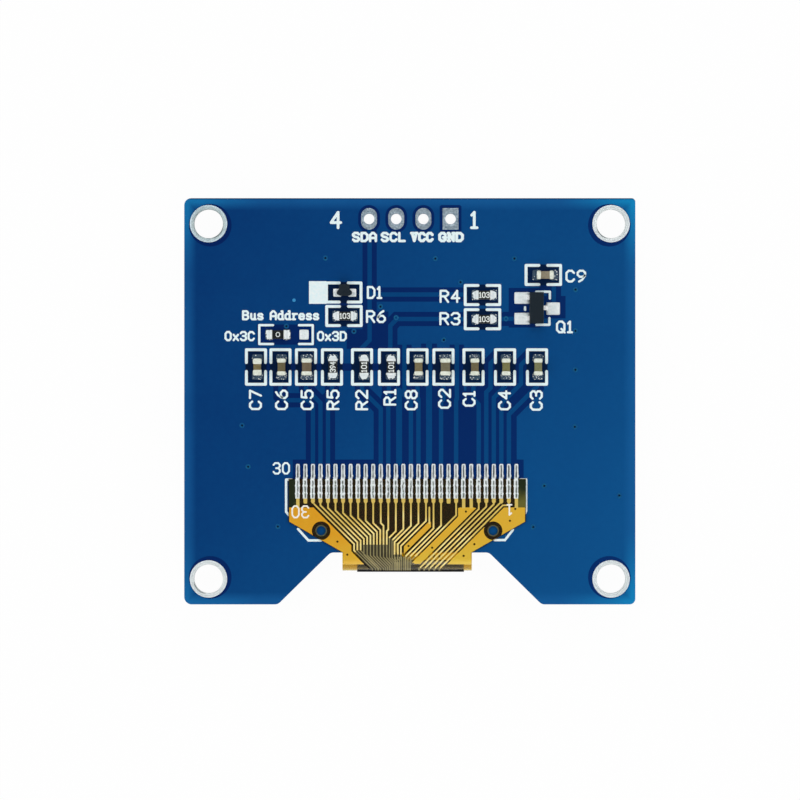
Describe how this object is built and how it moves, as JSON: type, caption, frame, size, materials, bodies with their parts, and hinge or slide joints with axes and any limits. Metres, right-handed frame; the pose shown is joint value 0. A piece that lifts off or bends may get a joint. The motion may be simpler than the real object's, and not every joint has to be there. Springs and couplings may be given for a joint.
{
  "type": "small graphic oled display module",
  "caption": "Blue circuit board carrying a glass oled panel underneath, a folded flex tail soldered through a notch, chip parts and a row of header holes.",
  "frame": {"origin": "under the board's centre, on the front face of the display that it lies on", "axes": "+Z out of the component side, +X along the header towards pin 1, +Y to the header"},
  "size_m": [0.0422, 0.038, 0.0041],
  "materials": {
    "blue_board": "satin",
    "tinned_rings": "satin",
    "tinned_eyelets": "satin",
    "tinned_lands": "satin",
    "solder": "gloss",
    "amber_film": "satin",
    "film_copper": "satin",
    "black_strip": "matte",
    "front_glass": "gloss",
    "rear_glass": "gloss",
    "seal": "satin",
    "dark_polarizer": "gloss",
    "emitter_metal": "satin",
    "drying_sheet": "matte",
    "silicon": "gloss",
    "clear_sealant": "satin",
    "foam_tape": "matte",
    "dark_glaze": "gloss",
    "black_moulding": "satin",
    "tinned_leads": "satin",
    "tinned_ends": "satin",
    "tan_ceramic": "matte",
    "white_ceramic": "matte"
  },
  "bodies": {
    "root": {"address_link_body": "white_ceramic", "address_link_terminals": "tinned_ends", "board": "blue_board", "capacitor_c1_body": "tan_ceramic", "capacitor_c1_terminals": "tinned_ends", "capacitor_c2_body": "tan_ceramic", "capacitor_c2_terminals": "tinned_ends", "capacitor_c3_body": "tan_ceramic", "capacitor_c3_terminals": "tinned_ends", "capacitor_c4_body": "tan_ceramic", "capacitor_c4_terminals": "tinned_ends", "capacitor_c5_body": "tan_ceramic", "capacitor_c5_terminals": "tinned_ends", "capacitor_c6_body": "tan_ceramic", "capacitor_c6_terminals": "tinned_ends", "capacitor_c7_body": "tan_ceramic", "capacitor_c7_terminals": "tinned_ends", "capacitor_c8_body": "tan_ceramic", "capacitor_c8_terminals": "tinned_ends", "capacitor_c9_body": "tan_ceramic", "capacitor_c9_terminals": "tinned_ends", "chip_lands": "tinned_lands", "chip_solder": "solder", "diode_d1_body": "black_moulding", "diode_d1_leads": "tinned_leads", "driver_chip": "silicon", "emitter_layer": "emitter_metal", "flex_contacts": "tinned_lands", "flex_copper": "film_copper", "flex_film": "amber_film", "flex_lands": "tinned_lands", "flex_solder": "solder", "fold_strip": "black_strip", "front_glass": "front_glass", "getter_sheet": "drying_sheet", "header_eyelets": "tinned_eyelets", "ledge_sealant": "clear_sealant", "mounting_rings": "tinned_rings", "polarizer": "dark_polarizer", "rear_glass": "rear_glass", "resistor_coats": "dark_glaze", "resistor_r1_body": "white_ceramic", "resistor_r1_terminals": "tinned_ends", "resistor_r2_body": "white_ceramic", "resistor_r2_terminals": "tinned_ends", "resistor_r3_body": "white_ceramic", "resistor_r3_terminals": "tinned_ends", "resistor_r4_body": "white_ceramic", "resistor_r4_terminals": "tinned_ends", "resistor_r5_body": "white_ceramic", "resistor_r5_terminals": "tinned_ends", "resistor_r6_body": "white_ceramic", "resistor_r6_terminals": "tinned_ends", "seal_bead": "seal", "tape_left": "foam_tape", "tape_right": "foam_tape", "transistor_q1_body": "black_moulding", "transistor_q1_leads": "tinned_leads"}
  },
  "joints": []
}
